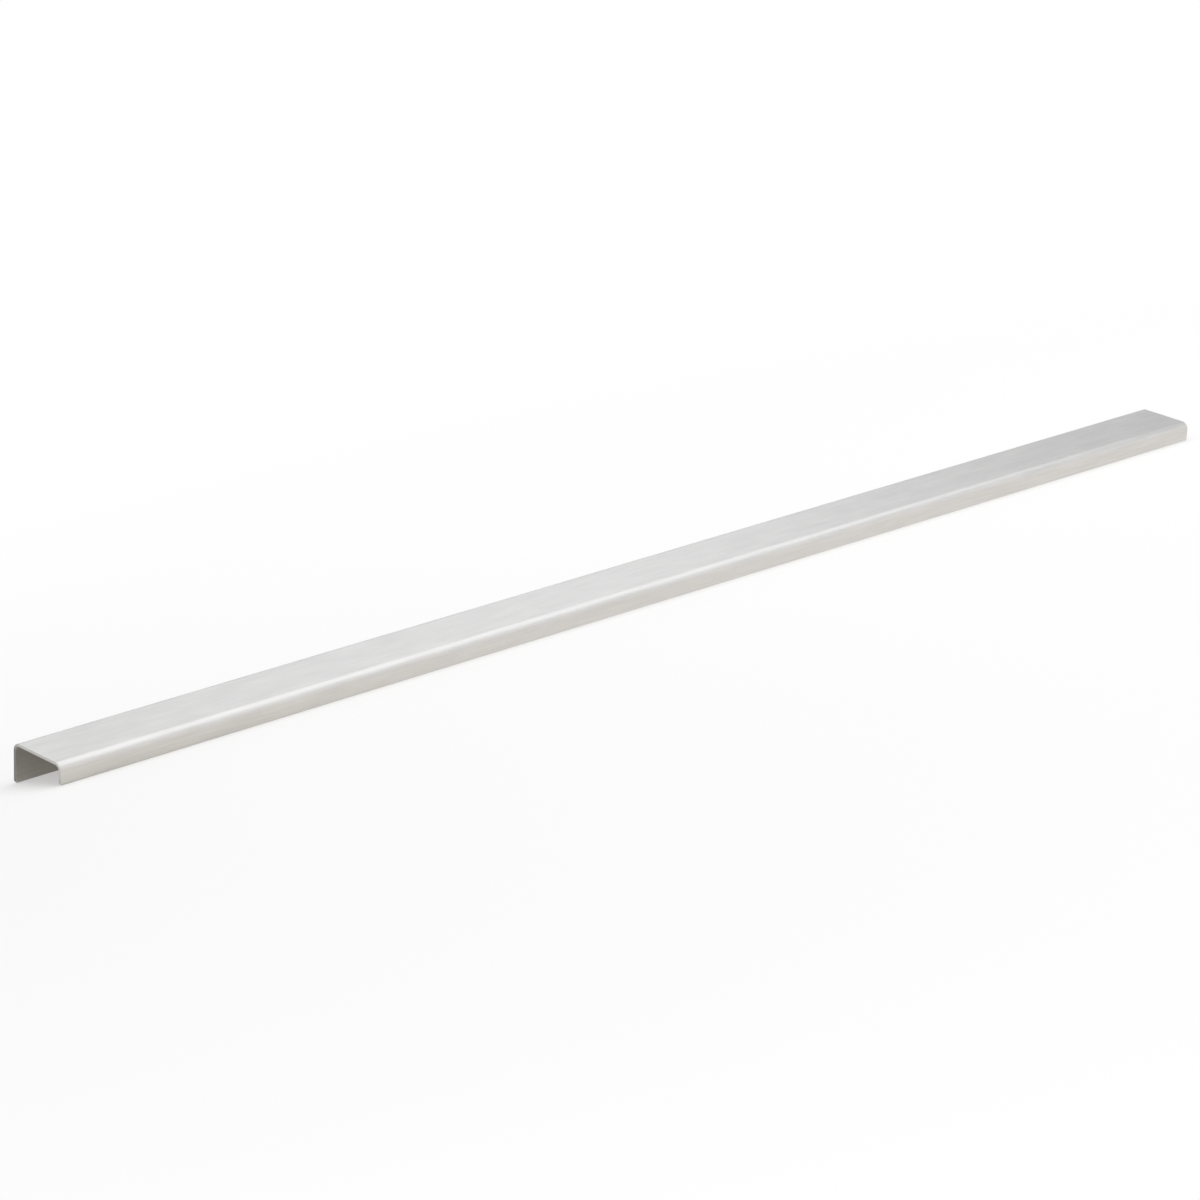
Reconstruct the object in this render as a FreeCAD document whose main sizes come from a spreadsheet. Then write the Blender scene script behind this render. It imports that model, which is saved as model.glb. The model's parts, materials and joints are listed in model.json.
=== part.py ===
"""Handleless finger pull profile for the top edge of a door or drawer front.

One strip of satin metal sheet, folded twice into a long channel with unequal flanges. The rear flange
lies against the back of the front and is screwed to it, the top plate covers its top edge, and the lip
hangs down before its face, with room for fingers behind it.

Lengths are in millimetres. The section is drawn with Y to the rear and Z up, from the line where the
planes of the lip's face and of the top plate's face meet. Unheld on a level floor, the profile stands on
the free edges of both flanges. The lip is the shorter one, so the whole section leans forward, and the
profile is stored that way: X along its length, the floor at Z = 0 and the origin on the floor, under the
middle of the bounding box.
"""
import FreeCAD
import Part
import Sketcher
from enum import IntEnum
import math
import os

NODE = "pull_profile"

# The driving dimensions: alias, value, meaning.
SIZES = [
    ("length", 900, "the whole profile, end to end"),
    ("depth", 39, "front to rear, over both flanges"),
    ("rear_drop", 22.5, "rear flange, from the top face down to its free edge"),
    ("lip_drop", 11.5, "front lip, from the top face down to its free edge"),
    ("sheet", 1.5, "thickness of the metal"),
    ("inner_bend", 3, "inside radius of both folds"),
    ("corner", 1.5, "rounding of the free corners at the four ends of the flanges"),
    ("end_margin", 66, "from each end of the profile to its nearest screw hole"),
    ("hole_count", 4, "screw holes in the rear flange, evenly spaced"),
    ("screw_bore", 3.6, "screw hole, through the inner face of the rear flange"),
    ("sink_land", 0.3, "what the countersink leaves of the screw hole's wall"),
    ("sink_angle", 90, "countersink, included angle in degrees"),
]

# Outline of the section in drawing order, counter-clockwise: name and form. The inner folds are hollow,
# so their arcs, which always run counter-clockwise, are met end first.
OUTLINE = [
    ("lip_edge", "level"),
    ("lip_inside", "upright"),
    ("front_inner_fold", "hollow arc"),
    ("underside", "level"),
    ("rear_inner_fold", "hollow arc"),
    ("rear_inside", "upright"),
    ("rear_edge", "level"),
    ("rear_face", "upright"),
    ("rear_outer_fold", "arc"),
    ("top_face", "level"),
    ("front_outer_fold", "arc"),
    ("lip_face", "upright"),
]
PLACE = {name: index for index, (name, form) in enumerate(OUTLINE)}


class Point(IntEnum):
    """Which point of a sketched line or arc a constraint takes."""
    START = 1
    END = 2
    CENTRE = 3


class Axis(IntEnum):
    """A sketch's own axes. The start of the level one is the sketch's origin."""
    LEVEL = -1
    UPRIGHT = -2


ORIGIN = (Axis.LEVEL, Point.START)


def make_sheet(doc):
    """The spreadsheet that drives every size."""
    sheet = doc.addObject("Spreadsheet::Sheet", "sizes")
    for row, (alias, value, meaning) in enumerate(SIZES, start=1):
        sheet.set(f"A{row}", meaning)
        sheet.set(f"B{row}", str(value))
        sheet.setAlias(f"B{row}", alias)
    doc.recompute()
    return sheet


def origin_plane(body, role):
    """One of the body's own three origin planes."""
    return next(feature for feature in body.Origin.OriginFeatures if feature.Role == role)


def add_sketch(body, name, role):
    """An empty sketch on one of the body's origin planes."""
    sketch = body.newObject("Sketcher::SketchObject", name)
    sketch.AttachmentSupport = [(origin_plane(body, role), "")]
    sketch.MapMode = "FlatFace"
    return sketch


def bind(sketch, constraint, name, expression):
    """Adds a dimension to a sketch, names it and ties it to the spreadsheet."""
    index = sketch.addConstraint(constraint)
    sketch.renameConstraint(index, name)
    sketch.setExpression(f"Constraints.{name}", expression)


def line(y0, z0, y1, z1):
    """A straight stretch of the section."""
    return Part.LineSegment(FreeCAD.Vector(y0, z0, 0), FreeCAD.Vector(y1, z1, 0))


def quarter(y, z, radius, turns):
    """A quarter of a circle about (y, z), counter-clockwise after the given number of right angles."""
    circle = Part.Circle(FreeCAD.Vector(y, z, 0), FreeCAD.Vector(0, 0, 1), radius)
    right_angle = math.pi / 2
    return Part.ArcOfCircle(circle, turns * right_angle, (turns + 1) * right_angle)


def draw_section(sketch, sheet):
    """The folded sheet seen from its end, as lines and tangent arcs that the sheet's values hold."""
    depth = sheet.depth
    rear_drop = sheet.rear_drop
    lip_drop = sheet.lip_drop
    metal = sheet.sheet
    inner = sheet.inner_bend
    outer = inner + metal
    shapes = {
        "lip_edge": line(0, -lip_drop, metal, -lip_drop),
        "lip_inside": line(metal, -lip_drop, metal, -outer),
        "front_inner_fold": quarter(outer, -outer, inner, 1),
        "underside": line(outer, -metal, depth - outer, -metal),
        "rear_inner_fold": quarter(depth - outer, -outer, inner, 0),
        "rear_inside": line(depth - metal, -outer, depth - metal, -rear_drop),
        "rear_edge": line(depth - metal, -rear_drop, depth, -rear_drop),
        "rear_face": line(depth, -rear_drop, depth, -outer),
        "rear_outer_fold": quarter(depth - outer, -outer, outer, 0),
        "top_face": line(depth - outer, 0, outer, 0),
        "front_outer_fold": quarter(outer, -outer, outer, 1),
        "lip_face": line(0, -outer, 0, -lip_drop),
    }
    sketch.addGeometry([shapes[name] for name, form in OUTLINE], False)

    for index, (name, form) in enumerate(OUTLINE):
        following = (index + 1) % len(OUTLINE)
        next_form = OUTLINE[following][1]
        leaves_at = Point.START if form == "hollow arc" else Point.END
        meets_at = Point.END if next_form == "hollow arc" else Point.START
        kind = "Tangent" if "arc" in form + next_form else "Coincident"
        sketch.addConstraint(Sketcher.Constraint(kind, index, leaves_at, following, meets_at))
        if form == "level":
            sketch.addConstraint(Sketcher.Constraint("Horizontal", index))
        if form == "upright":
            sketch.addConstraint(Sketcher.Constraint("Vertical", index))

    for side in ("front", "rear"):
        inner_fold = PLACE[f"{side}_inner_fold"]
        outer_fold = PLACE[f"{side}_outer_fold"]
        centres = (inner_fold, Point.CENTRE, outer_fold, Point.CENTRE)
        sketch.addConstraint(Sketcher.Constraint("Coincident", *centres))
    sketch.addConstraint(Sketcher.Constraint("Equal", PLACE["front_inner_fold"], PLACE["rear_inner_fold"]))
    sketch.addConstraint(Sketcher.Constraint("PointOnObject", PLACE["lip_face"], Point.START, Axis.UPRIGHT))
    sketch.addConstraint(Sketcher.Constraint("PointOnObject", PLACE["top_face"], Point.START, Axis.LEVEL))

    lip_foot = (PLACE["lip_face"], Point.END)
    rear_foot = (PLACE["rear_face"], Point.START)
    lip_edge = (PLACE["lip_edge"], Point.START, PLACE["lip_edge"], Point.END)
    bind(sketch, Sketcher.Constraint("DistanceX", *ORIGIN, *rear_foot, depth), "depth", "sizes.depth")
    bind(sketch, Sketcher.Constraint("DistanceY", *rear_foot, *ORIGIN, rear_drop), "rear_drop",
         "sizes.rear_drop")
    bind(sketch, Sketcher.Constraint("DistanceY", *lip_foot, *ORIGIN, lip_drop), "lip_drop",
         "sizes.lip_drop")
    bind(sketch, Sketcher.Constraint("DistanceX", *lip_edge, metal), "metal", "sizes.sheet")
    bind(sketch, Sketcher.Constraint("Radius", PLACE["front_inner_fold"], inner), "inner_bend",
         "sizes.inner_bend")


def fold_channel(body, sheet):
    """The channel at its full length, symmetric about the middle."""
    section = add_sketch(body, "section", "YZ_Plane")
    draw_section(section, sheet)
    channel = body.newObject("PartDesign::Pad", "channel")
    channel.Profile = section
    channel.SideType = "Symmetric"
    channel.setExpression("Length", "sizes.length")
    body.Document.recompute()
    return channel


def same(a, b):
    """Whether two lengths are equal but for rounding."""
    return math.isclose(a, b, abs_tol=1e-6)


def free_corners(channel, sheet):
    """Names of the four short edges where the flanges' free edges meet the ends."""
    names = []
    for index, edge in enumerate(channel.Shape.Edges, start=1):
        middle = edge.BoundBox.Center
        across = same(edge.BoundBox.YLength, edge.Length)
        at_end = same(abs(middle.x), sheet.length / 2)
        on_foot = same(-middle.z, sheet.rear_drop) or same(-middle.z, sheet.lip_drop)
        if across and at_end and on_foot:
            names.append(f"Edge{index}")
    return names


def round_corners(body, channel, sheet):
    """Takes the points off the flanges' free corners."""
    rounding = body.newObject("PartDesign::Fillet", "free_corners")
    rounding.Base = (channel, free_corners(channel, sheet))
    rounding.setExpression("Radius", "sizes.corner")
    body.Document.recompute()
    return rounding


def drill_screw_holes(body, sheet):
    """A row of countersunk holes along the middle of the rear flange's flat, sunk from its outer face."""
    spot = add_sketch(body, "first_hole", "XZ_Plane")
    spot.setExpression("AttachmentOffset.Base.z", "-sizes.depth")
    along = sheet.length / 2 - sheet.end_margin
    below = (sheet.rear_drop + sheet.inner_bend + sheet.sheet) / 2
    centre = FreeCAD.Vector(-along, -below, 0)
    rim = spot.addGeometry(Part.Circle(centre, FreeCAD.Vector(0, 0, 1), sheet.screw_bore / 2), False)
    bind(spot, Sketcher.Constraint("DistanceX", rim, Point.CENTRE, *ORIGIN, along), "along",
         "sizes.length / 2 - sizes.end_margin")
    bind(spot, Sketcher.Constraint("DistanceY", rim, Point.CENTRE, *ORIGIN, below), "below",
         "(sizes.rear_drop + sizes.inner_bend + sizes.sheet) / 2")
    bind(spot, Sketcher.Constraint("Diameter", rim, sheet.screw_bore), "bore", "sizes.screw_bore")
    body.Document.recompute()

    hole = body.newObject("PartDesign::Hole", "screw_hole")
    hole.Profile = spot
    hole.Reversed = True
    hole.DepthType = "Dimension"
    hole.DrillPoint = "Flat"
    hole.HoleCutType = "Countersink"
    hole.HoleCutCustomValues = True
    hole.setExpression("Diameter", "sizes.screw_bore")
    hole.setExpression("Depth", "sizes.sheet * 2")
    hole.setExpression("HoleCutDiameter", "sizes.screw_bore + 2 * (sizes.sheet - sizes.sink_land)"
                                          " * tan(sizes.sink_angle * 0.5 deg)")
    hole.setExpression("HoleCutCountersinkAngle", "sizes.sink_angle")
    body.Document.recompute()

    row = body.newObject("PartDesign::LinearPattern", "hole_row")
    row.Originals = [hole]
    row.Direction = (spot, ["H_Axis"])
    row.setExpression("Length", "sizes.length - 2 * sizes.end_margin")
    row.setExpression("Occurrences", "sizes.hole_count")
    body.Tip = row
    body.Document.recompute()
    return row


def set_down(body):
    """Stands the profile on the free edges of its two flanges, over the origin."""
    body.addProperty("App::PropertyAngle", "Lean", "Rest", "how far the section leans forward")
    body.addProperty("App::PropertyLength", "OuterBend", "Rest", "outside radius of both folds")
    body.addProperty("App::PropertyLength", "RearReach", "Rest", "from the section's origin to the rear")
    body.addProperty("App::PropertyLength", "FrontReach", "Rest", "from the section's origin to the front")
    body.setExpression("Lean", "atan((sizes.rear_drop - sizes.lip_drop) / (sizes.depth - sizes.sheet))")
    body.setExpression("OuterBend", "(sizes.inner_bend + sizes.sheet) * 1 mm")
    body.setExpression("RearReach", "(sizes.depth * cos(Lean) + sizes.rear_drop * sin(Lean)) * 1 mm")
    body.setExpression("FrontReach", "OuterBend * (cos(Lean) + sin(Lean) - 1)")
    about_length = FreeCAD.Rotation(FreeCAD.Vector(1, 0, 0), 1)
    body.Placement = FreeCAD.Placement(FreeCAD.Vector(0, 0, 0), about_length)
    body.setExpression("Placement.Rotation.Angle", "Lean")
    body.setExpression("Placement.Base.y", "-(RearReach + FrontReach) / 2")
    body.setExpression("Placement.Base.z", "sizes.lip_drop * cos(Lean) * 1 mm")
    body.Document.recompute()


def check(doc, body):
    """Stops if any object failed or the profile isn't one sound solid."""
    for thing in doc.Objects:
        if "Invalid" in thing.State or "Error" in thing.State:
            raise RuntimeError(f"{thing.Name} didn't build: {thing.State}")
    shape = body.Shape
    if shape.isNull() or not shape.isValid() or len(shape.Solids) != 1:
        raise RuntimeError(f"{body.Label} isn't one valid solid")


def main():
    doc = FreeCAD.newDocument("finger_pull_profile")
    sheet = make_sheet(doc)
    body = doc.addObject("PartDesign::Body", NODE)
    body.Label = NODE
    channel = fold_channel(body, sheet)
    round_corners(body, channel, sheet)
    drill_screw_holes(body, sheet)
    set_down(body)
    doc.recompute()
    check(doc, body)

    box = body.Shape.BoundBox
    print(f"lean {body.Lean}, volume {body.Shape.Volume:.1f} mm3")
    print(f"lowest corner {box.XMin:.3f} {box.YMin:.3f} {box.ZMin:.3f}")
    print(f"highest corner {box.XMax:.3f} {box.YMax:.3f} {box.ZMax:.3f}")
    os.makedirs("parts", exist_ok=True)
    body.Shape.exportStep(f"parts/{body.Label}.step")


main()
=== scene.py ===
"""Looks of the handleless finger pull profile.

One strip of satin steel sheet, made here the way a press brake makes it: a flat blank with rounded free
corners, a row of screw holes pierced and countersunk in it, two long folds, broken edges, and a fine grain
along the length. Everything is in metres. The folded profile stands on the free edges of its two flanges,
with the floor at Z = 0, its length along X and its long rear flange towards +Y.
"""
import json
import math

import bmesh
import bpy
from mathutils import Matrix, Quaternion, Vector


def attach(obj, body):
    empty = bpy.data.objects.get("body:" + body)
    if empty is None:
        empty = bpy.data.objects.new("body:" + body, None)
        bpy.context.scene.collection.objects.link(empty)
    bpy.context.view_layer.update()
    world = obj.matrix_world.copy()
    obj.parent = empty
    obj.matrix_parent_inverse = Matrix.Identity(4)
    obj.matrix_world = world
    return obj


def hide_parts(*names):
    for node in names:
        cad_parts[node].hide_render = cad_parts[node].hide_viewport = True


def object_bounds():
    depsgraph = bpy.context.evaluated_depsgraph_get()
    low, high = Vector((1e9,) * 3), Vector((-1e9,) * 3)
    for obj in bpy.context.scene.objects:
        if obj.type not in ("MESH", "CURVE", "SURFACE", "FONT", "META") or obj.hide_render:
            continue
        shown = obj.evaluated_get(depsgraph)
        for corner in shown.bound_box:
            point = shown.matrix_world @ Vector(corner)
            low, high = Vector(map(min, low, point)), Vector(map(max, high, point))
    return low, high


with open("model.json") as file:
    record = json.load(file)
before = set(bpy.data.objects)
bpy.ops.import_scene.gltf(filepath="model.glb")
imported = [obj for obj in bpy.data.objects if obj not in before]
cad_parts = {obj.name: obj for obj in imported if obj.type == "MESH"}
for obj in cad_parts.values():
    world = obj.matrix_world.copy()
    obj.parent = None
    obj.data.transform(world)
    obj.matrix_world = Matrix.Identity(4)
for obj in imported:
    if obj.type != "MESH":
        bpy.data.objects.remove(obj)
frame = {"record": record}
cad_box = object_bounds()

NODE = "pull_profile"
PIECE = "finger_pull"
MM = 0.001
QUARTER_TURN = math.pi / 2

# The strip's sizes, the same as the solid's.
LENGTH = cad_box[1].x - cad_box[0].x
DEPTH = 39 * MM
LIP_DROP = 11.5 * MM
REAR_DROP = 22.5 * MM
SHEET = 1.5 * MM
INNER_BEND = 3 * MM
CORNER = 1.5 * MM

# The screw holes. Their places along the length come from the record's hole patterns.
SCREW_BORE = 3.6 * MM
SINK_LAND = 0.3 * MM
HOLE_CIRCLES = [mount["dims"]["pcd_mm"] * MM for mount in frame["record"]["mounts"]
                if mount["kind"] == "bolt_pattern"]
HOLE_PLACES = sorted(side * circle / 2 for circle in HOLE_CIRCLES for side in (-1, 1))

# The edges, broken with a fine file wherever the surface turns by more than the angle.
EDGE_BREAK = 0.16 * MM
EDGE_BREAK_STEPS = 2
EDGE_BREAK_ANGLE = math.radians(50)

# How far the large faces' normals win over the small ones', where 50 favours neither.
LARGE_FACE_WEIGHT = 100

# Points nearer than this are one point.
WELD = MM / 1000

# A face of the flat blank is a cut one where its normal's Z, up or down, is under this.
LEVEL_FACE = 0.9
CUT_MARK = "cut_face"
FLAT_MAP = "flat_blank"

# The sheet's two faces. Streaks and clouds move a value by up to half of their figure each way.
STEEL = (0.67, 0.647, 0.61)
FACE_ROUGHNESS = 0.382
FACE_ANISOTROPY = 0.69
ANISOTROPY_TURN = 0.25
STREAK_TONE = 0.24
CLOUD_TONE = 0.14
STREAK_ROUGHNESS = 0.08
CLOUD_ROUGHNESS = 0.07
SCRATCH_HEIGHT = 0.004 * MM

# Where the edges have been rubbed: how far in from the outline, and how much rougher.
RUB_REACH = 0.8 * MM
RUB_ROUGHNESS = 0.06

# The sheared edges and the holes' walls.
CUT_STEEL = (0.62, 0.605, 0.575)
CUT_ROUGHNESS = 0.45
CUT_STREAK_TONE = 0.16
CUT_STREAK_ROUGHNESS = 0.12
CUT_SCRATCH_HEIGHT = 0.02 * MM
CUT_GRAIN = {"Scratches per Metre": 2500.0, "Scratch Stretch": 3.0, "Streaks per Metre": 900.0,
             "Streak Stretch": 2.0}
# Painted shade on the rear flange's two end strips: their colour is darkened to this share.
REAR_END_PAINTED_SHADE = 0.35

# The noise that the grain is made of.
SCRATCH_DETAIL = 2.0
MASK_DETAIL = 3.0
NOISE_ROUGHNESS = 0.6
BUMP_STRENGTH = 0.6

# The studio: a floor a little warm and lamps a little cool, so that the floor is seen as white.
FLOOR_COLOUR = (0.985, 0.955, 0.905)
LIGHT_TINT = (0.965, 0.995, 1.05)
FLOOR_HALF = 40.0
FLOOR_GAP = 0.02 * MM

# How white the camera sees the floor: at the profile, and from this distance on.
SEEN_FADE = (0.4, 1.0)
SEEN_REACH = 1.0

# How white the metal mirrors it: at the profile's near end, and from this distance on.
MIRRORED_FADE = (0.06, 0.95)
MIRRORED_REACH = 0.4

# The walls, by the direction in which they are seen: its Z is 0 on the level and 1 straight up.
WALL_LOW = 0.8
WALL_HIGH = 0.5
WALL_BEND = (0.39, 0.551)
HORIZON_FADE = (0.02, 0.07)
BRIGHT_SIDE = (0.125, -0.273, 0.0)
STRIPE_START = (0.56, 0.62)
STRIPE_END = (0.68, 0.76)
STRIPE_GLOW = 0.12

# The soft box overhead.
SOFT_BOX_PLACE = (0.73, -0.292, 1.749)
SOFT_BOX_SIZE = (3.229, 3.596)
SOFT_BOX_TURN = 0.1
SOFT_BOX_GLOW = 0.92

# The camera. Blender takes the lens and the sensor's width in millimetres.
CAMERA_PLACE = (-1.71618, -1.85495, 0.3866)
CAMERA_AIM = (-0.05193, -0.00055, 0.00731)
CAMERA_ROLL = math.radians(9.163)
CAMERA_LENS = 133.395
CAMERA_SENSOR = 36.0
CAMERA_REACH = 200.0

# Fineness of the mesh.
FOLD_STEPS = 14
CORNER_STEPS = 8
PUNCH_STEPS = 48
STATIONS_PER_HOLE = 8

# What follows from the sizes: the flat blank's zones from the lip's free edge to the rear flange's.
OUTER_BEND = INNER_BEND + SHEET
MIDDLE_BEND = INNER_BEND + SHEET / 2
LIP_FLAT = LIP_DROP - OUTER_BEND
FOLD_FLAT = MIDDLE_BEND * QUARTER_TURN
PLATE_FLAT = DEPTH - 2 * OUTER_BEND
REAR_FLAT = REAR_DROP - OUTER_BEND
BLANK_WIDTH = LIP_FLAT + FOLD_FLAT + PLATE_FLAT + FOLD_FLAT + REAR_FLAT
HOLE_LINE = BLANK_WIDTH - REAR_FLAT / 2

# How the section leans when both flanges' free edges are on the floor.
LEAN = math.atan2(REAR_DROP - LIP_DROP, DEPTH - SHEET)


def feed(tree, socket, value):
    """Gives a node's input a value, or links it to another node's output."""
    if isinstance(value, bpy.types.NodeSocket):
        tree.links.new(value, socket)
    else:
        socket.default_value = value


def add_node(tree, kind, settings=None, inputs=None):
    """A node with its settings, and its inputs by name."""
    node = tree.nodes.new(kind)
    for name, value in (settings or {}).items():
        setattr(node, name, value)
    for name, value in (inputs or {}).items():
        feed(tree, node.inputs[name], value)
    return node


def calculate(tree, operation, *values):
    """The result of a math node on numbers or sockets."""
    node = tree.nodes.new("ShaderNodeMath")
    node.operation = operation
    for socket, value in zip(node.inputs, values):
        feed(tree, socket, value)
    return node.outputs[0]


def vector_math(tree, operation, first, second):
    """The outputs, Vector and Value, of a vector math node on two vectors."""
    node = add_node(tree, "ShaderNodeVectorMath", {"operation": operation})
    feed(tree, node.inputs[0], first)
    feed(tree, node.inputs[1], second)
    return node.outputs


def ramp(tree, value, span, goal, kind="LINEAR"):
    """A value carried from one range to another, and held at the range's ends."""
    node = add_node(tree, "ShaderNodeMapRange", {"interpolation_type": kind}, {
        "Value": value, "From Min": span[0], "From Max": span[1], "To Min": goal[0], "To Max": goal[1]})
    return node.outputs["Result"]


def mix_shaders(tree, share, first, second):
    """Two shaders mixed: only the first where the share is 0, only the second where it is 1."""
    node = add_node(tree, "ShaderNodeMixShader", inputs={"Fac": share})
    feed(tree, node.inputs[1], first)
    feed(tree, node.inputs[2], second)
    return node.outputs[0]


def open_group(name, kind, inputs, outputs):
    """A node group with named sockets, what it is given and where its results go."""
    group = bpy.data.node_groups.new(name, kind)
    for label, socket_kind, value in inputs:
        socket = group.interface.new_socket(label, in_out="INPUT", socket_type=socket_kind)
        if value is not None:
            socket.default_value = value
    for label, socket_kind in outputs:
        group.interface.new_socket(label, in_out="OUTPUT", socket_type=socket_kind)
    given = group.nodes.new("NodeGroupInput").outputs
    results = group.nodes.new("NodeGroupOutput").inputs
    return group, given, results


def to_object(mesh, name):
    """A scene object from a bmesh, at the origin."""
    data = bpy.data.meshes.new(name)
    mesh.to_mesh(data)
    mesh.free()
    thing = bpy.data.objects.new(name, data)
    bpy.context.scene.collection.objects.link(thing)
    return thing


def blank_stations():
    """Places along the length where the blank's mesh has a line across: ends, corners, holes and between."""
    step = (HOLE_PLACES[1] - HOLE_PLACES[0]) / STATIONS_PER_HOLE
    stations = {LENGTH / 2, -LENGTH / 2, LENGTH / 2 - CORNER, CORNER - LENGTH / 2}
    past_holes = int((LENGTH / 2 - CORNER - HOLE_PLACES[-1]) / step)
    first = HOLE_PLACES[0] - past_holes * step
    last_index = (len(HOLE_PLACES) - 1) * STATIONS_PER_HOLE + 2 * past_holes
    stations.update(first + index * step for index in range(last_index + 1))
    return sorted(stations)


def blank_lines():
    """Places across the width where the blank's mesh has a line along: edges, corners, folds and holes."""
    first_fold = [LIP_FLAT + FOLD_FLAT * index / FOLD_STEPS for index in range(FOLD_STEPS + 1)]
    second_fold = [place + FOLD_FLAT + PLATE_FLAT for place in first_fold]
    return [0, CORNER, *first_fold, *second_fold, HOLE_LINE, BLANK_WIDTH - CORNER, BLANK_WIDTH]


def make_blank():
    """The flat blank: X along the length, Y across from the lip's free edge, outer face upwards."""
    stations = blank_stations()
    lines = blank_lines()
    last_column = len(stations) - 2
    last_row = len(lines) - 2
    # The grid's four corner cells, and which vertex of each is the blank's own corner.
    tips = {(0, 0): 0, (last_column, 0): 1, (last_column, last_row): 2, (0, last_row): 3}

    mesh = bmesh.new()
    grid = [[mesh.verts.new((x, y, -SHEET / 2)) for y in lines] for x in stations]
    for column, (left, right) in enumerate(zip(grid, grid[1:])):
        for row in range(last_row + 1):
            cell = [left[row], right[row], right[row + 1], left[row + 1]]
            if (column, row) in tips:
                round_tip(mesh, cell, tips[column, row])
            else:
                mesh.faces.new(cell)
    loose = [vertex for vertex in mesh.verts if not vertex.link_faces]
    bmesh.ops.delete(mesh, geom=loose, context="VERTS")
    bmesh.ops.remove_doubles(mesh, verts=mesh.verts, dist=WELD)
    top = bmesh.ops.extrude_face_region(mesh, geom=mesh.faces[:])
    raised = [part for part in top["geom"] if isinstance(part, bmesh.types.BMVert)]
    bmesh.ops.translate(mesh, verts=raised, vec=(0, 0, SHEET))
    bmesh.ops.recalc_face_normals(mesh, faces=mesh.faces)
    return to_object(mesh, "strip_blank")


def round_tip(mesh, cell, tip):
    """Fills a square corner cell with a quarter disc, as a fan about the vertex opposite to its tip."""
    # Counted back round the cell's four vertices, which wraps at the list's start.
    before, hub, after = cell[tip - 1], cell[tip - 2], cell[tip - 3]
    centre = hub.co
    start = before.co - centre
    end = after.co - centre
    rim = []
    for index in range(CORNER_STEPS + 1):
        turn = QUARTER_TURN * index / CORNER_STEPS
        rim.append(mesh.verts.new(centre + start * math.cos(turn) + end * math.sin(turn)))
    for first, second in zip(rim, rim[1:]):
        mesh.faces.new([hub, first, second])


def make_punch():
    """The tool that pierces and countersinks one hole: turned about Z, and reaching past both faces."""
    spare = SHEET
    sink_floor = SINK_LAND - SHEET / 2
    bore = SCREW_BORE / 2
    top = SHEET / 2 + spare
    outline = [(0, top), (bore + top - sink_floor, top), (bore, sink_floor), (bore, -top), (0, -top)]
    mesh = bmesh.new()
    verts = [mesh.verts.new((radius, 0, height)) for radius, height in outline]
    edges = [mesh.edges.new(pair) for pair in zip(verts, verts[1:])]
    bmesh.ops.spin(mesh, geom=verts + edges, cent=(0, 0, 0), axis=(0, 0, 1), angle=4 * QUARTER_TURN,
                   steps=PUNCH_STEPS)
    bmesh.ops.remove_doubles(mesh, verts=mesh.verts, dist=WELD)
    bmesh.ops.recalc_face_normals(mesh, faces=mesh.faces)
    return to_object(mesh, "screw_hole_punch")


def pierce(tree, given):
    """The blank with a row of punches taken out of it."""
    start = add_node(tree, "ShaderNodeCombineXYZ", inputs={
        "X": given["First Hole"], "Y": given["Hole Line"]})
    stride = add_node(tree, "ShaderNodeCombineXYZ", inputs={"X": given["Hole Spacing"]})
    row = add_node(tree, "GeometryNodeMeshLine", inputs={
        "Count": given["Hole Count"], "Start Location": start.outputs[0], "Offset": stride.outputs[0]})
    punch = add_node(tree, "GeometryNodeObjectInfo", inputs={"Object": given["Punch"]})
    punches = add_node(tree, "GeometryNodeInstanceOnPoints", inputs={
        "Points": row.outputs["Mesh"], "Instance": punch.outputs["Geometry"]})
    solid_punches = add_node(tree, "GeometryNodeRealizeInstances", inputs={
        "Geometry": punches.outputs[0]})
    pierced = add_node(tree, "GeometryNodeMeshBoolean", {"operation": "DIFFERENCE", "solver": "EXACT"}, {
        "Mesh 1": given["Blank"], "Mesh 2": solid_punches.outputs[0]})
    clean = add_node(tree, "GeometryNodeMergeByDistance", inputs={
        "Geometry": pierced.outputs[0], "Distance": WELD})
    return clean.outputs[0]


def mark(tree, blank, place):
    """The flat blank with its cut faces marked, and its flat places kept as a map for the grain."""
    normal = add_node(tree, "GeometryNodeInputNormal").outputs[0]
    facing = add_node(tree, "ShaderNodeSeparateXYZ", inputs={"Vector": normal})
    level = calculate(tree, "ABSOLUTE", facing.outputs["Z"])
    is_cut = calculate(tree, "LESS_THAN", level, LEVEL_FACE)
    marked = add_node(
        tree, "GeometryNodeStoreNamedAttribute", {"data_type": "BOOLEAN", "domain": "FACE"},
        {"Geometry": blank, "Name": CUT_MARK, "Value": is_cut})
    mapped = add_node(
        tree, "GeometryNodeStoreNamedAttribute", {"data_type": "FLOAT2", "domain": "CORNER"},
        {"Geometry": marked.outputs[0], "Name": FLAT_MAP, "Value": place})
    return mapped.outputs[0]


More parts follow.
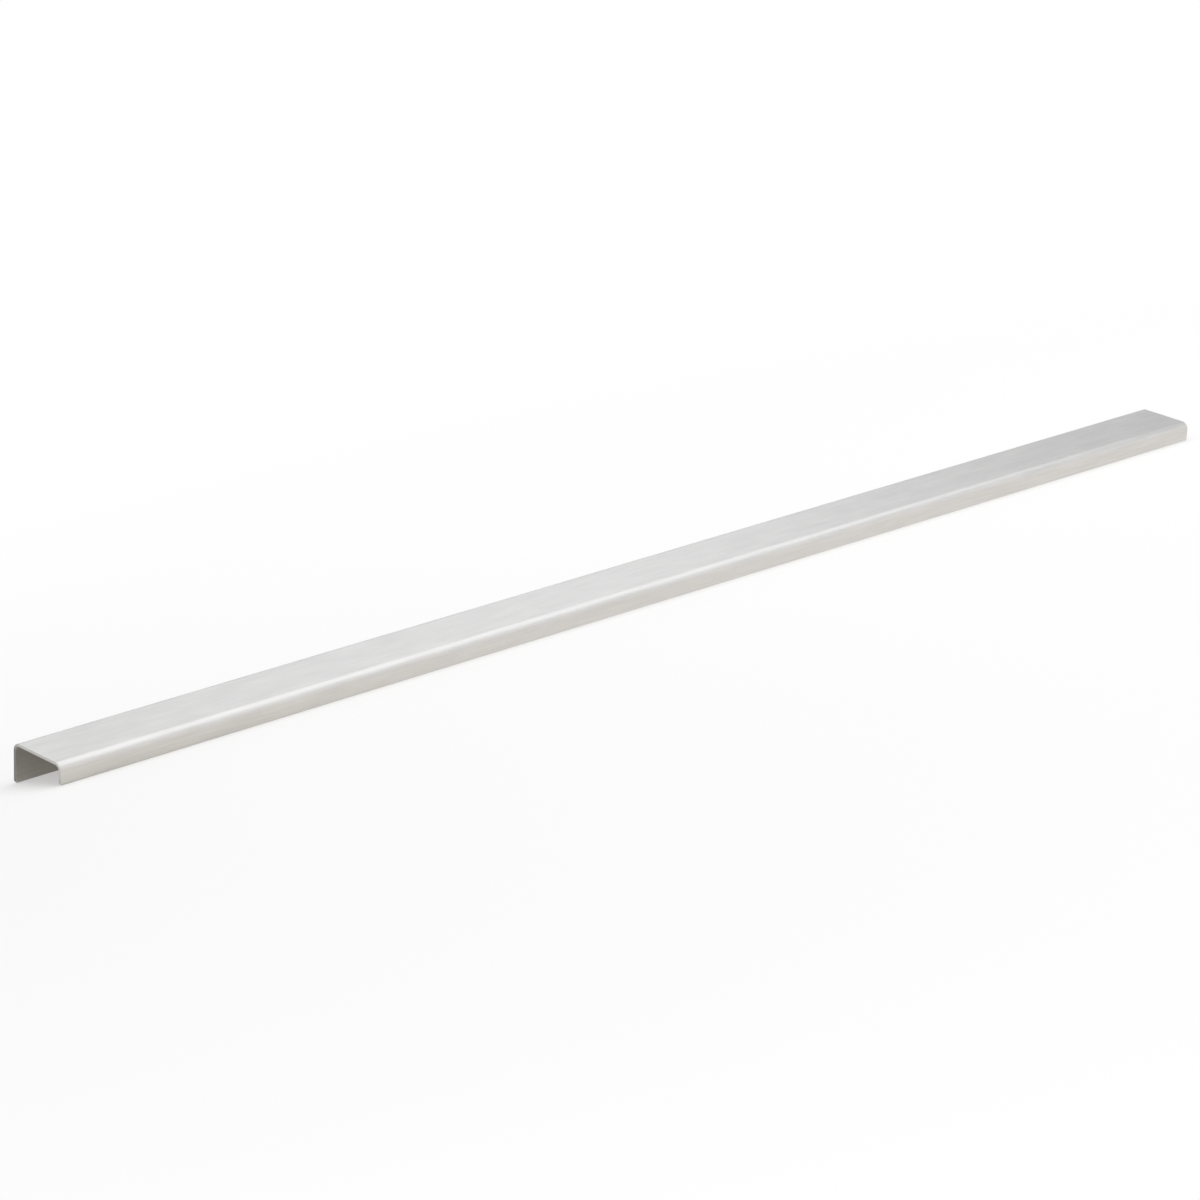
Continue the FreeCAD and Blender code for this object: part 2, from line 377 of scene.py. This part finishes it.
def fold(tree, given, place):
    """Where each place of the flat blank goes in the section, whose outer front corner is at Y = Z = 0."""
    flat = add_node(tree, "ShaderNodeSeparateXYZ", inputs={"Vector": place}).outputs
    across = flat["Y"]
    fold_starts = given["Lip Flat"]
    fold_ends = calculate(tree, "ADD", fold_starts, given["Fold Flat"])
    plate_ends = calculate(tree, "ADD", fold_ends, given["Plate Flat"])
    rear_starts = calculate(tree, "ADD", plate_ends, given["Fold Flat"])
    rear_ends = calculate(tree, "ADD", rear_starts, given["Rear Flat"])
    lip_run = ramp(tree, across, (0.0, fold_starts), (given["Lip Flat"], 0.0))
    first_turn = ramp(tree, across, (fold_starts, fold_ends), (0.0, QUARTER_TURN))
    plate_run = ramp(tree, across, (fold_ends, plate_ends), (0.0, given["Plate Flat"]))
    second_turn = ramp(tree, across, (plate_ends, rear_starts), (0.0, QUARTER_TURN))
    rear_run = ramp(tree, across, (rear_starts, rear_ends), (0.0, given["Rear Flat"]))

    first_sine = calculate(tree, "SINE", first_turn)
    first_cosine = calculate(tree, "COSINE", first_turn)
    second_sine = calculate(tree, "SINE", second_turn)
    second_cosine = calculate(tree, "COSINE", second_turn)
    radius = calculate(tree, "ADD", given["Middle Radius"], flat["Z"])
    rearward = calculate(tree, "SUBTRACT", second_sine, first_cosine)
    upward = calculate(tree, "SUBTRACT", calculate(tree, "ADD", first_sine, second_cosine), 1.0)
    y_flat = calculate(tree, "ADD", given["Outer Radius"], plate_run)
    y = calculate(tree, "MULTIPLY_ADD", radius, rearward, y_flat)
    drop = calculate(tree, "ADD", given["Outer Radius"], calculate(tree, "ADD", lip_run, rear_run))
    z = calculate(tree, "SUBTRACT", calculate(tree, "MULTIPLY", radius, upward), drop)
    return add_node(tree, "ShaderNodeCombineXYZ", inputs={"X": flat["X"], "Y": y, "Z": z}).outputs[0]


def forming_tree():
    """Geometry Nodes that pierce the blank, mark it, fold it and stand it on the floor."""
    tree, given, results = open_group(
        "pierce_and_fold", "GeometryNodeTree",
        [("Blank", "NodeSocketGeometry", None),
         ("Punch", "NodeSocketObject", None),
         ("First Hole", "NodeSocketFloat", 0.0),
         ("Hole Spacing", "NodeSocketFloat", 0.0),
         ("Hole Count", "NodeSocketInt", 0),
         ("Hole Line", "NodeSocketFloat", 0.0),
         ("Lip Flat", "NodeSocketFloat", 0.0),
         ("Fold Flat", "NodeSocketFloat", 0.0),
         ("Plate Flat", "NodeSocketFloat", 0.0),
         ("Rear Flat", "NodeSocketFloat", 0.0),
         ("Middle Radius", "NodeSocketFloat", 0.0),
         ("Outer Radius", "NodeSocketFloat", 0.0),
         ("Lean", "NodeSocketFloat", 0.0),
         ("Stand", "NodeSocketVector", None),
         ("Face Finish", "NodeSocketMaterial", None),
         ("Cut Finish", "NodeSocketMaterial", None)],
        [("Profile", "NodeSocketGeometry")])
    place = add_node(tree, "GeometryNodeInputPosition").outputs[0]
    marked = mark(tree, pierce(tree, given), place)
    folded = add_node(tree, "GeometryNodeSetPosition", inputs={
        "Geometry": marked, "Position": fold(tree, given, place)})
    leaning = add_node(tree, "ShaderNodeCombineXYZ", inputs={"X": given["Lean"]})
    standing = add_node(tree, "GeometryNodeTransform", inputs={
        "Geometry": folded.outputs[0], "Translation": given["Stand"], "Rotation": leaning.outputs[0]})
    is_cut = add_node(tree, "GeometryNodeInputNamedAttribute", {"data_type": "BOOLEAN"}, {"Name": CUT_MARK})
    real = add_node(tree, "GeometryNodeRealizeInstances", inputs={"Geometry": standing.outputs[0]})
    faces = add_node(tree, "GeometryNodeSetMaterial", inputs={
        "Geometry": real.outputs[0], "Material": given["Face Finish"]})
    cuts = add_node(tree, "GeometryNodeSetMaterial", inputs={
        "Geometry": faces.outputs[0],
        "Selection": is_cut.outputs["Attribute"],
        "Material": given["Cut Finish"]})
    feed(tree, results["Profile"], cuts.outputs[0])
    return tree


def set_inputs(modifier, values):
    """Sets a Geometry Nodes modifier's inputs by their names."""
    keys = {item.name: item.identifier for item in modifier.node_group.interface.items_tree
            if item.item_type == "SOCKET" and item.in_out == "INPUT"}
    for name, value in values.items():
        modifier[keys[name]] = value


def stand_place():
    """Where the section's corner goes, so that the leaning profile stands over the CAD box's place."""
    rearmost = DEPTH * math.cos(LEAN) + REAR_DROP * math.sin(LEAN)
    foremost = OUTER_BEND * (math.cos(LEAN) + math.sin(LEAN) - 1)
    middle = (cad_box[0].y + cad_box[1].y) / 2
    floor = cad_box[0].z
    return (0.0, middle - (rearmost + foremost) / 2, floor + LIP_DROP * math.cos(LEAN))


def make_profile(face_finish, cut_finish):
    """The finished strip: blank, pierced, folded, edges broken."""
    punch = make_punch()
    strip = make_blank()
    forming = strip.modifiers.new("forming", "NODES")
    forming.node_group = forming_tree()
    set_inputs(forming, {
        "Punch": punch,
        "First Hole": HOLE_PLACES[0],
        "Hole Spacing": HOLE_PLACES[1] - HOLE_PLACES[0],
        "Hole Count": len(HOLE_PLACES),
        "Hole Line": HOLE_LINE,
        "Lip Flat": LIP_FLAT,
        "Fold Flat": FOLD_FLAT,
        "Plate Flat": PLATE_FLAT,
        "Rear Flat": REAR_FLAT,
        "Middle Radius": MIDDLE_BEND,
        "Outer Radius": OUTER_BEND,
        "Lean": LEAN,
        "Stand": stand_place(),
        "Face Finish": face_finish,
        "Cut Finish": cut_finish,
    })
    breaking = strip.modifiers.new("broken_edges", "BEVEL")
    breaking.width = EDGE_BREAK
    breaking.segments = EDGE_BREAK_STEPS
    breaking.limit_method = "ANGLE"
    breaking.angle_limit = EDGE_BREAK_ANGLE
    breaking.use_clamp_overlap = False
    smoothing = strip.modifiers.new("flat_faces", "WEIGHTED_NORMAL")
    smoothing.weight = LARGE_FACE_WEIGHT
    smoothing.keep_sharp = True
    for face in strip.data.polygons:
        face.use_smooth = True

    evaluated = strip.evaluated_get(bpy.context.evaluated_depsgraph_get())
    finished = bpy.data.meshes.new_from_object(evaluated)
    finished.name = PIECE
    profile = bpy.data.objects.new(PIECE, finished)
    bpy.context.scene.collection.objects.link(profile)
    bpy.data.objects.remove(strip)
    bpy.data.objects.remove(punch)
    return profile


def grain_group():
    """Fine lengthwise grain: scratches as a height, and slow streaks and clouds as masks."""
    group, given, results = open_group(
        "lengthwise_grain", "ShaderNodeTree",
        [("Vector", "NodeSocketVector", None),
         ("Scratches per Metre", "NodeSocketFloat", 5000.0),
         ("Scratch Stretch", "NodeSocketFloat", 90.0),
         ("Streaks per Metre", "NodeSocketFloat", 700.0),
         ("Streak Stretch", "NodeSocketFloat", 25.0),
         ("Clouds per Metre", "NodeSocketFloat", 110.0),
         ("Cloud Stretch", "NodeSocketFloat", 3.0)],
        [("Height", "NodeSocketFloat"), ("Streaks", "NodeSocketFloat"), ("Clouds", "NodeSocketFloat")])

    def stretched_noise(per_metre, stretch, detail):
        along = calculate(group, "DIVIDE", per_metre, stretch)
        scale = add_node(group, "ShaderNodeCombineXYZ", inputs={
            "X": along, "Y": per_metre, "Z": per_metre})
        scaled = vector_math(group, "MULTIPLY", given["Vector"], scale.outputs[0])["Vector"]
        noise = add_node(group, "ShaderNodeTexNoise", inputs={
            "Vector": scaled, "Scale": 1.0, "Detail": detail, "Roughness": NOISE_ROUGHNESS})
        return noise.outputs["Fac"]

    scratches = stretched_noise(given["Scratches per Metre"], given["Scratch Stretch"], SCRATCH_DETAIL)
    streaks = stretched_noise(given["Streaks per Metre"], given["Streak Stretch"], MASK_DETAIL)
    clouds = stretched_noise(given["Clouds per Metre"], given["Cloud Stretch"], MASK_DETAIL)
    feed(group, results["Height"], scratches)
    feed(group, results["Streaks"], streaks)
    feed(group, results["Clouds"], clouds)
    return group


def rub_group():
    """How near a place is to the strip's outline, where deburring and handling have rubbed the grain."""
    group, given, results = open_group(
        "edge_rub", "ShaderNodeTree",
        [("Vector", "NodeSocketVector", None),
         ("Length", "NodeSocketFloat", LENGTH),
         ("Width", "NodeSocketFloat", BLANK_WIDTH),
         ("Reach", "NodeSocketFloat", RUB_REACH)],
        [("Rub", "NodeSocketFloat")])
    flat = add_node(group, "ShaderNodeSeparateXYZ", inputs={"Vector": given["Vector"]}).outputs
    half_length = calculate(group, "MULTIPLY", given["Length"], 0.5)
    from_end = calculate(group, "SUBTRACT", half_length, calculate(group, "ABSOLUTE", flat["X"]))
    from_far_side = calculate(group, "SUBTRACT", given["Width"], flat["Y"])
    from_side = calculate(group, "MINIMUM", flat["Y"], from_far_side)
    nearest = calculate(group, "MINIMUM", from_end, from_side)
    feed(group, results["Rub"], ramp(group, nearest, (0.0, given["Reach"]), (1.0, 0.0)))
    return group


def steel_material(name, base):
    """A bare metal of one base colour: its material, node tree and shader."""
    material = bpy.data.materials.new(name)
    material.use_nodes = True
    tree = material.node_tree
    shader = tree.nodes["Principled BSDF"]
    shader.inputs["Base Color"].default_value = (*base, 1)
    shader.inputs["Metallic"].default_value = 1.0
    return material, tree, shader


def tinted(tree, base, tone):
    """A base colour made lighter or darker by a tone near 1."""
    colour = add_node(tree, "ShaderNodeVectorMath", {"operation": "SCALE"})
    feed(tree, colour.inputs[0], base)
    feed(tree, colour.inputs["Scale"], tone)
    return colour.outputs[0]


def about(tree, middle, *parts):
    """A value about a middle one, moved by masks that go from 0 to 1, by the swing given with each."""
    value = middle
    for mask, swing in parts:
        value = calculate(tree, "MULTIPLY_ADD", calculate(tree, "SUBTRACT", mask, 0.5), swing, value)
    return value


def scratch(tree, shader, height, depth):
    """Gives a shader the relief of a height mask."""
    bump = add_node(tree, "ShaderNodeBump", inputs={
        "Strength": BUMP_STRENGTH, "Distance": depth, "Height": height})
    feed(tree, shader.inputs["Normal"], bump.outputs[0])


def satin_face(grain, rub):
    """The sheet's two faces: satin steel, its grain following the blank round the folds."""
    material, tree, shader = steel_material("satin_steel_face", STEEL)
    flat = add_node(tree, "ShaderNodeUVMap", {"uv_map": FLAT_MAP}).outputs["UV"]
    lines = add_node(tree, "ShaderNodeGroup", {"node_tree": grain}, {"Vector": flat}).outputs
    edge = add_node(tree, "ShaderNodeGroup", {"node_tree": rub}, {"Vector": flat}).outputs
    tangent = add_node(tree, "ShaderNodeTangent", {"direction_type": "UV_MAP", "uv_map": FLAT_MAP})

    streaks, clouds = lines["Streaks"], lines["Clouds"]
    tone = about(tree, 1.0, (streaks, STREAK_TONE), (clouds, CLOUD_TONE))
    feed(tree, shader.inputs["Base Color"], tinted(tree, STEEL, tone))
    rough = about(tree, FACE_ROUGHNESS, (streaks, STREAK_ROUGHNESS), (clouds, CLOUD_ROUGHNESS))
    rough = calculate(tree, "MULTIPLY_ADD", edge["Rub"], RUB_ROUGHNESS, rough)
    feed(tree, shader.inputs["Roughness"], rough)
    scratch(tree, shader, lines["Height"], SCRATCH_HEIGHT)
    shader.inputs["Anisotropic"].default_value = FACE_ANISOTROPY
    shader.inputs["Anisotropic Rotation"].default_value = ANISOTROPY_TURN
    feed(tree, shader.inputs["Tangent"], tangent.outputs[0])
    return material


def rear_end_shade_mask(tree):
    """Where the painted shade goes: 1 on the rear flange's two end strips, fading out over the rear fold,
    and 0 on the other cut edges.
    """
    uv = add_node(tree, "ShaderNodeUVMap", {"uv_map": FLAT_MAP}).outputs["UV"]
    flat = add_node(tree, "ShaderNodeSeparateXYZ", inputs={"Vector": uv}).outputs
    rear_start = BLANK_WIDTH - REAR_FLAT
    at_rear = ramp(tree, flat["Y"], (rear_start - FOLD_FLAT, rear_start), (0.0, 1.0))
    from_middle = calculate(tree, "ABSOLUTE", flat["X"])
    at_end = ramp(tree, from_middle, (LENGTH / 2 - CORNER, LENGTH / 2), (0.0, 1.0))
    return calculate(tree, "MULTIPLY", at_rear, at_end)


def cut_edge(grain):
    """The sheared edges and the holes' walls: duller, with coarser marks, and with painted shade on the rear
    flange's ends.
    """
    material, tree, shader = steel_material("cut_steel_edge", CUT_STEEL)
    place = add_node(tree, "ShaderNodeTexCoord").outputs["Object"]
    lines = add_node(tree, "ShaderNodeGroup", {"node_tree": grain}, {"Vector": place, **CUT_GRAIN}).outputs
    streaks = lines["Streaks"]
    # Painted shade: the rear flange's end strips are darkened in their colour.
    darker = ramp(tree, rear_end_shade_mask(tree), (0.0, 1.0), (1.0, REAR_END_PAINTED_SHADE))
    tone = calculate(tree, "MULTIPLY", about(tree, 1.0, (streaks, CUT_STREAK_TONE)), darker)
    feed(tree, shader.inputs["Base Color"], tinted(tree, CUT_STEEL, tone))
    feed(tree, shader.inputs["Roughness"], about(tree, CUT_ROUGHNESS, (streaks, CUT_STREAK_ROUGHNESS)))
    scratch(tree, shader, lines["Height"], CUT_SCRATCH_HEIGHT)
    return material


def floor_finish():
    """Matt and pale near the profile, plain white away from it, and clear from below."""
    material = bpy.data.materials.new("pale_floor")
    material.use_nodes = True
    tree = material.node_tree
    tree.nodes.clear()
    place = add_node(tree, "ShaderNodeTexCoord").outputs["Object"]
    flat = add_node(tree, "ShaderNodeSeparateXYZ", inputs={"Vector": place}).outputs
    past_end = calculate(tree, "SUBTRACT", calculate(tree, "ABSOLUTE", flat["X"]), LENGTH / 2)
    past_end = calculate(tree, "MAXIMUM", past_end, 0.0)
    aside = calculate(tree, "MULTIPLY", flat["Y"], flat["Y"])
    from_profile = calculate(tree, "SQRT", calculate(tree, "MULTIPLY_ADD", past_end, past_end, aside))
    from_near_end = vector_math(tree, "DISTANCE", place, (cad_box[0].x, 0, 0))["Value"]

    path = add_node(tree, "ShaderNodeLightPath").outputs
    seen_share = ramp(tree, from_profile, (0.0, SEEN_REACH), SEEN_FADE)
    seen = calculate(tree, "MULTIPLY", path["Is Camera Ray"], seen_share)
    glossy = calculate(tree, "MAXIMUM", path["Is Glossy Ray"], path["Is Transmission Ray"])
    mirrored_share = ramp(tree, from_near_end, (0.0, MIRRORED_REACH), MIRRORED_FADE)
    mirrored = calculate(tree, "MULTIPLY", glossy, mirrored_share)
    white_share = calculate(tree, "MAXIMUM", seen, mirrored)

    matt = add_node(tree, "ShaderNodeBsdfDiffuse", inputs={"Color": (*FLOOR_COLOUR, 1)})
    white = add_node(tree, "ShaderNodeEmission", inputs={"Color": (1, 1, 1, 1), "Strength": 1.0})
    clear = add_node(tree, "ShaderNodeBsdfTransparent")
    from_below = add_node(tree, "ShaderNodeNewGeometry").outputs["Backfacing"]
    upper_side = mix_shaders(tree, white_share, matt.outputs[0], white.outputs[0])
    both_sides = mix_shaders(tree, from_below, upper_side, clear.outputs[0])
    add_node(tree, "ShaderNodeOutputMaterial", inputs={"Surface": both_sides})
    return material


def make_floor():
    """A plain pale floor, a hair below the free edges that stand on it."""
    mesh = bmesh.new()
    corners = [(-1, -1), (1, -1), (1, 1), (-1, 1)]
    level = cad_box[0].z - FLOOR_GAP
    verts = [mesh.verts.new((x * FLOOR_HALF, y * FLOOR_HALF, level)) for x, y in corners]
    mesh.faces.new(verts)
    floor = to_object(mesh, "floor")
    floor.data.materials.append(floor_finish())


def make_world():
    """The studio's walls: white at the floor, then pale, greyer overhead and behind the profile.

    A slightly brighter stripe stands towards +X.
    """
    world = bpy.data.worlds.new("studio")
    bpy.context.scene.world = world
    world.use_nodes = True
    tree = world.node_tree
    direction = add_node(tree, "ShaderNodeTexCoord").outputs["Generated"]
    split = add_node(tree, "ShaderNodeSeparateXYZ", inputs={"Vector": direction}).outputs
    wall = ramp(tree, split["Z"], WALL_BEND, (WALL_LOW, WALL_HIGH), "SMOOTHSTEP")
    facing = vector_math(tree, "DOT_PRODUCT", direction, BRIGHT_SIDE)["Value"]
    glow = calculate(tree, "MULTIPLY_ADD", wall, facing, wall)
    stripe_begun = ramp(tree, split["X"], STRIPE_START, (0.0, 1.0))
    stripe_left = ramp(tree, split["X"], STRIPE_END, (1.0, 0.0))
    stripe = calculate(tree, "MULTIPLY", stripe_begun, stripe_left)
    glow = calculate(tree, "MULTIPLY", glow, calculate(tree, "MULTIPLY_ADD", stripe, STRIPE_GLOW, 1.0))
    above = ramp(tree, split["Z"], HORIZON_FADE, (0.0, 1.0), "SMOOTHSTEP")
    colour = add_node(tree, "ShaderNodeMix", {"data_type": "VECTOR"}, {"Factor": above})
    feed(tree, colour.inputs["A"], (1, 1, 1))
    feed(tree, colour.inputs["B"], tinted(tree, LIGHT_TINT, glow))
    feed(tree, tree.nodes["Background"].inputs["Color"], colour.outputs["Result"])


def hang_soft_box():
    """A soft box overhead that faces down and glows evenly, unseen by the camera itself."""
    width, depth = SOFT_BOX_SIZE
    data = bpy.data.lights.new("overhead_soft_box", "AREA")
    data.shape = "RECTANGLE"
    data.size = width
    data.size_y = depth
    data.color = LIGHT_TINT
    data.energy = SOFT_BOX_GLOW * width * depth * math.pi
    lamp = bpy.data.objects.new("overhead_soft_box", data)
    lamp.location = SOFT_BOX_PLACE
    lamp.rotation_euler = (0, 0, SOFT_BOX_TURN)
    lamp.visible_camera = False
    bpy.context.scene.collection.objects.link(lamp)


def add_camera():
    """The photograph's view: from the front left, a little above, through a long lens, slightly rolled."""
    data = bpy.data.cameras.new("camera")
    data.lens = CAMERA_LENS
    data.sensor_width = CAMERA_SENSOR
    data.clip_end = CAMERA_REACH
    camera = bpy.data.objects.new("camera", data)
    camera.location = CAMERA_PLACE
    towards = (Vector(CAMERA_AIM) - camera.location).normalized()
    roll = Quaternion(towards, CAMERA_ROLL)
    camera.rotation_mode = "QUATERNION"
    camera.rotation_quaternion = roll @ towards.to_track_quat("-Z", "Y")
    bpy.context.scene.collection.objects.link(camera)
    bpy.context.scene.camera = camera


grain = grain_group()
rub = rub_group()
profile = make_profile(satin_face(grain, rub), cut_edge(grain))
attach(profile, "root")
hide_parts(NODE)

make_floor()
make_world()
hang_soft_box()
add_camera()
bpy.context.scene.view_settings.view_transform = "Standard"
